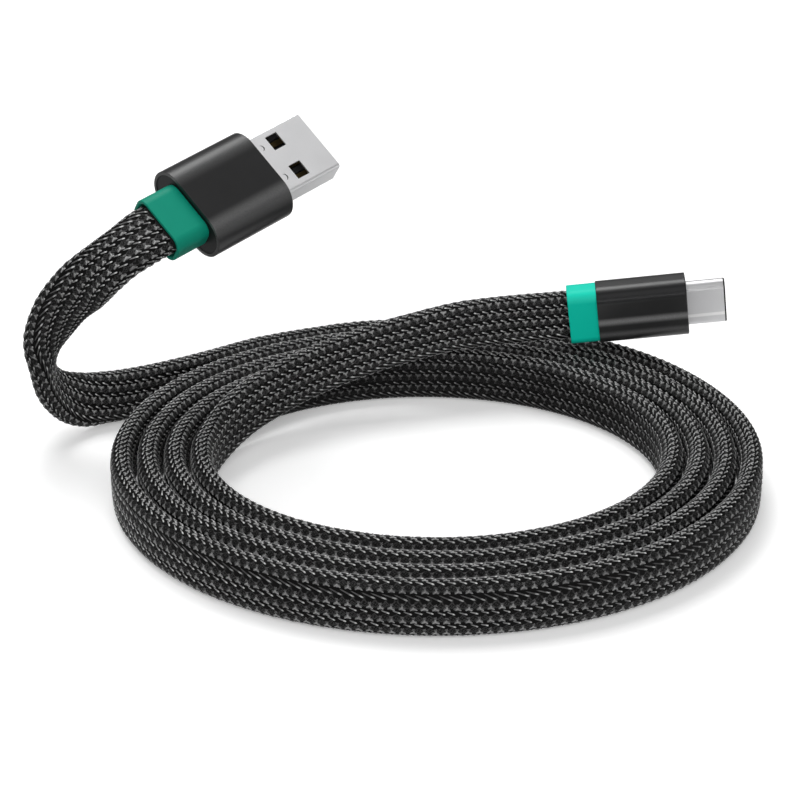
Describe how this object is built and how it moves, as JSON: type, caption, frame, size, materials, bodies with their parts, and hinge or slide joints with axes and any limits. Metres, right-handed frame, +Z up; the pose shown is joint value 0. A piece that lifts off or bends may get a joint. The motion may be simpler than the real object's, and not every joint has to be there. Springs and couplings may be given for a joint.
{
  "type": "charging cable",
  "caption": "Flat braided charging cable wound on edge into an oval coil, with a rectangular plug on its raised end and a small oval reversible plug on the other.",
  "frame": {"origin": "on the surface the coil lies on, under the middle of the whole cable's bounding box", "axes": "+Z up; +X along the coil's long way, towards the end where the small oval plug points; +Y towards the back, where both ends of the cable leave the coil"},
  "size_m": [0.1204, 0.0959, 0.052],
  "materials": {
    "braid": "flat braid of black and dark grey polyester yarns",
    "housing": "black anodised, fine satin",
    "collar": "satin teal green",
    "steel": "bright nickel plate, lightly drawn",
    "contact": "gold plated, bright",
    "white_insulator": "white moulding",
    "black_plastic": "black moulding",
    "mould": "pale inner moulding",
    "board": "green solder mask",
    "wire_red": "red insulation",
    "wire_white": "white insulation",
    "wire_green": "green insulation",
    "wire_black": "black insulation"
  },
  "bodies": {
    "root": {"cable_coil": "braid", "cable_run_a": "braid", "cable_run_c": "braid", "usb_a_cable_clamp": "steel", "usb_a_collar": "collar", "usb_a_contact_1": "contact", "usb_a_contact_2": "contact", "usb_a_contact_3": "contact", "usb_a_contact_4": "contact", "usb_a_housing": "housing", "usb_a_insulator": "white_insulator", "usb_a_mould_lower": "mould", "usb_a_mould_upper": "mould", "usb_a_rear_cap": "black_plastic", "usb_a_shell": "steel", "usb_a_strain_core": "black_plastic", "usb_a_wire_black": "wire_black", "usb_a_wire_green": "wire_green", "usb_a_wire_red": "wire_red", "usb_a_wire_white": "wire_white", "usb_c_cable_clamp": "steel", "usb_c_circuit_board": "board", "usb_c_collar": "collar", "usb_c_contact_a1": "contact", "usb_c_contact_a2": "contact", "usb_c_contact_a3": "contact", "usb_c_contact_a4": "contact", "usb_c_contact_a5": "contact", "usb_c_contact_a6": "contact", "usb_c_contact_b1": "contact", "usb_c_contact_b2": "contact", "usb_c_contact_b3": "contact", "usb_c_contact_b4": "contact", "usb_c_contact_b5": "contact", "usb_c_contact_b6": "contact", "usb_c_housing": "housing", "usb_c_insulator": "black_plastic", "usb_c_latch_plate": "steel", "usb_c_mould_lower": "mould", "usb_c_mould_upper": "mould", "usb_c_rear_cap": "black_plastic", "usb_c_resistor": "black_plastic", "usb_c_shell": "steel", "usb_c_strain_core": "black_plastic", "usb_c_wire_black": "wire_black", "usb_c_wire_green": "wire_green", "usb_c_wire_red": "wire_red", "usb_c_wire_white": "wire_white"}
  },
  "joints": []
}
